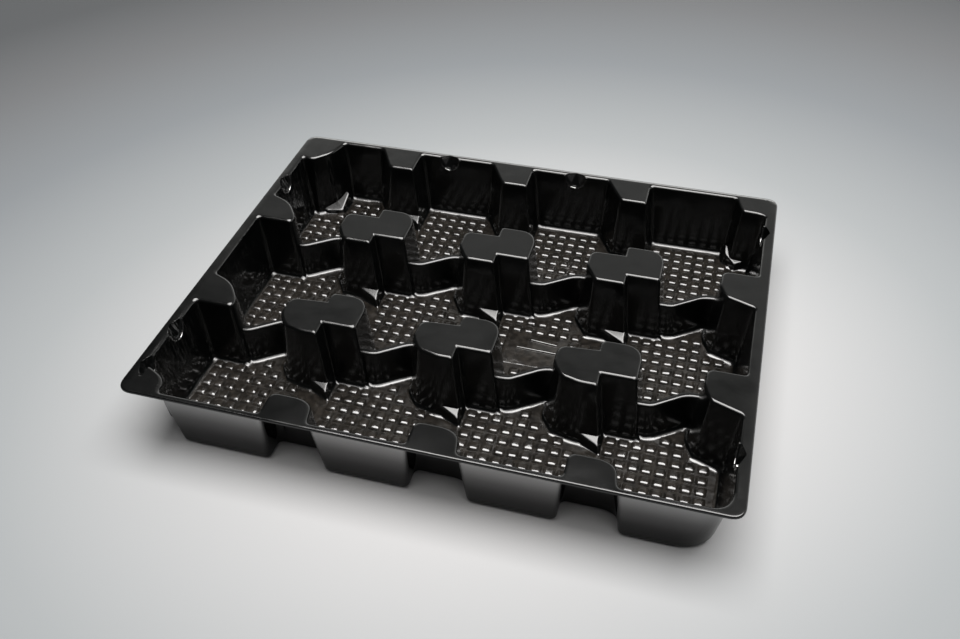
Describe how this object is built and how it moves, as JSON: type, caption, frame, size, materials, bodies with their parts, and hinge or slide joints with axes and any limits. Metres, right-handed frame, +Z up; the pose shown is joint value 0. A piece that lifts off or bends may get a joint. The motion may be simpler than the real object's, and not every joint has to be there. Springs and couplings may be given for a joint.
{
  "type": "compartment food tray",
  "caption": "Shallow glossy black formed plastic tray with open compartments between stepped hollow posts and low ridges, a flat rim with a turned-down lip and finger notches.",
  "frame": {"origin": "centre of the footprint, on the plane the tray rests on", "axes": "+X along the long side, +Y from the front edge to the back edge, +Z up out of the open side"},
  "size_m": [0.4, 0.32, 0.055],
  "materials": {
    "tray": "gloss black"
  },
  "bodies": {
    "root": {"tray": "tray"}
  },
  "joints": []
}
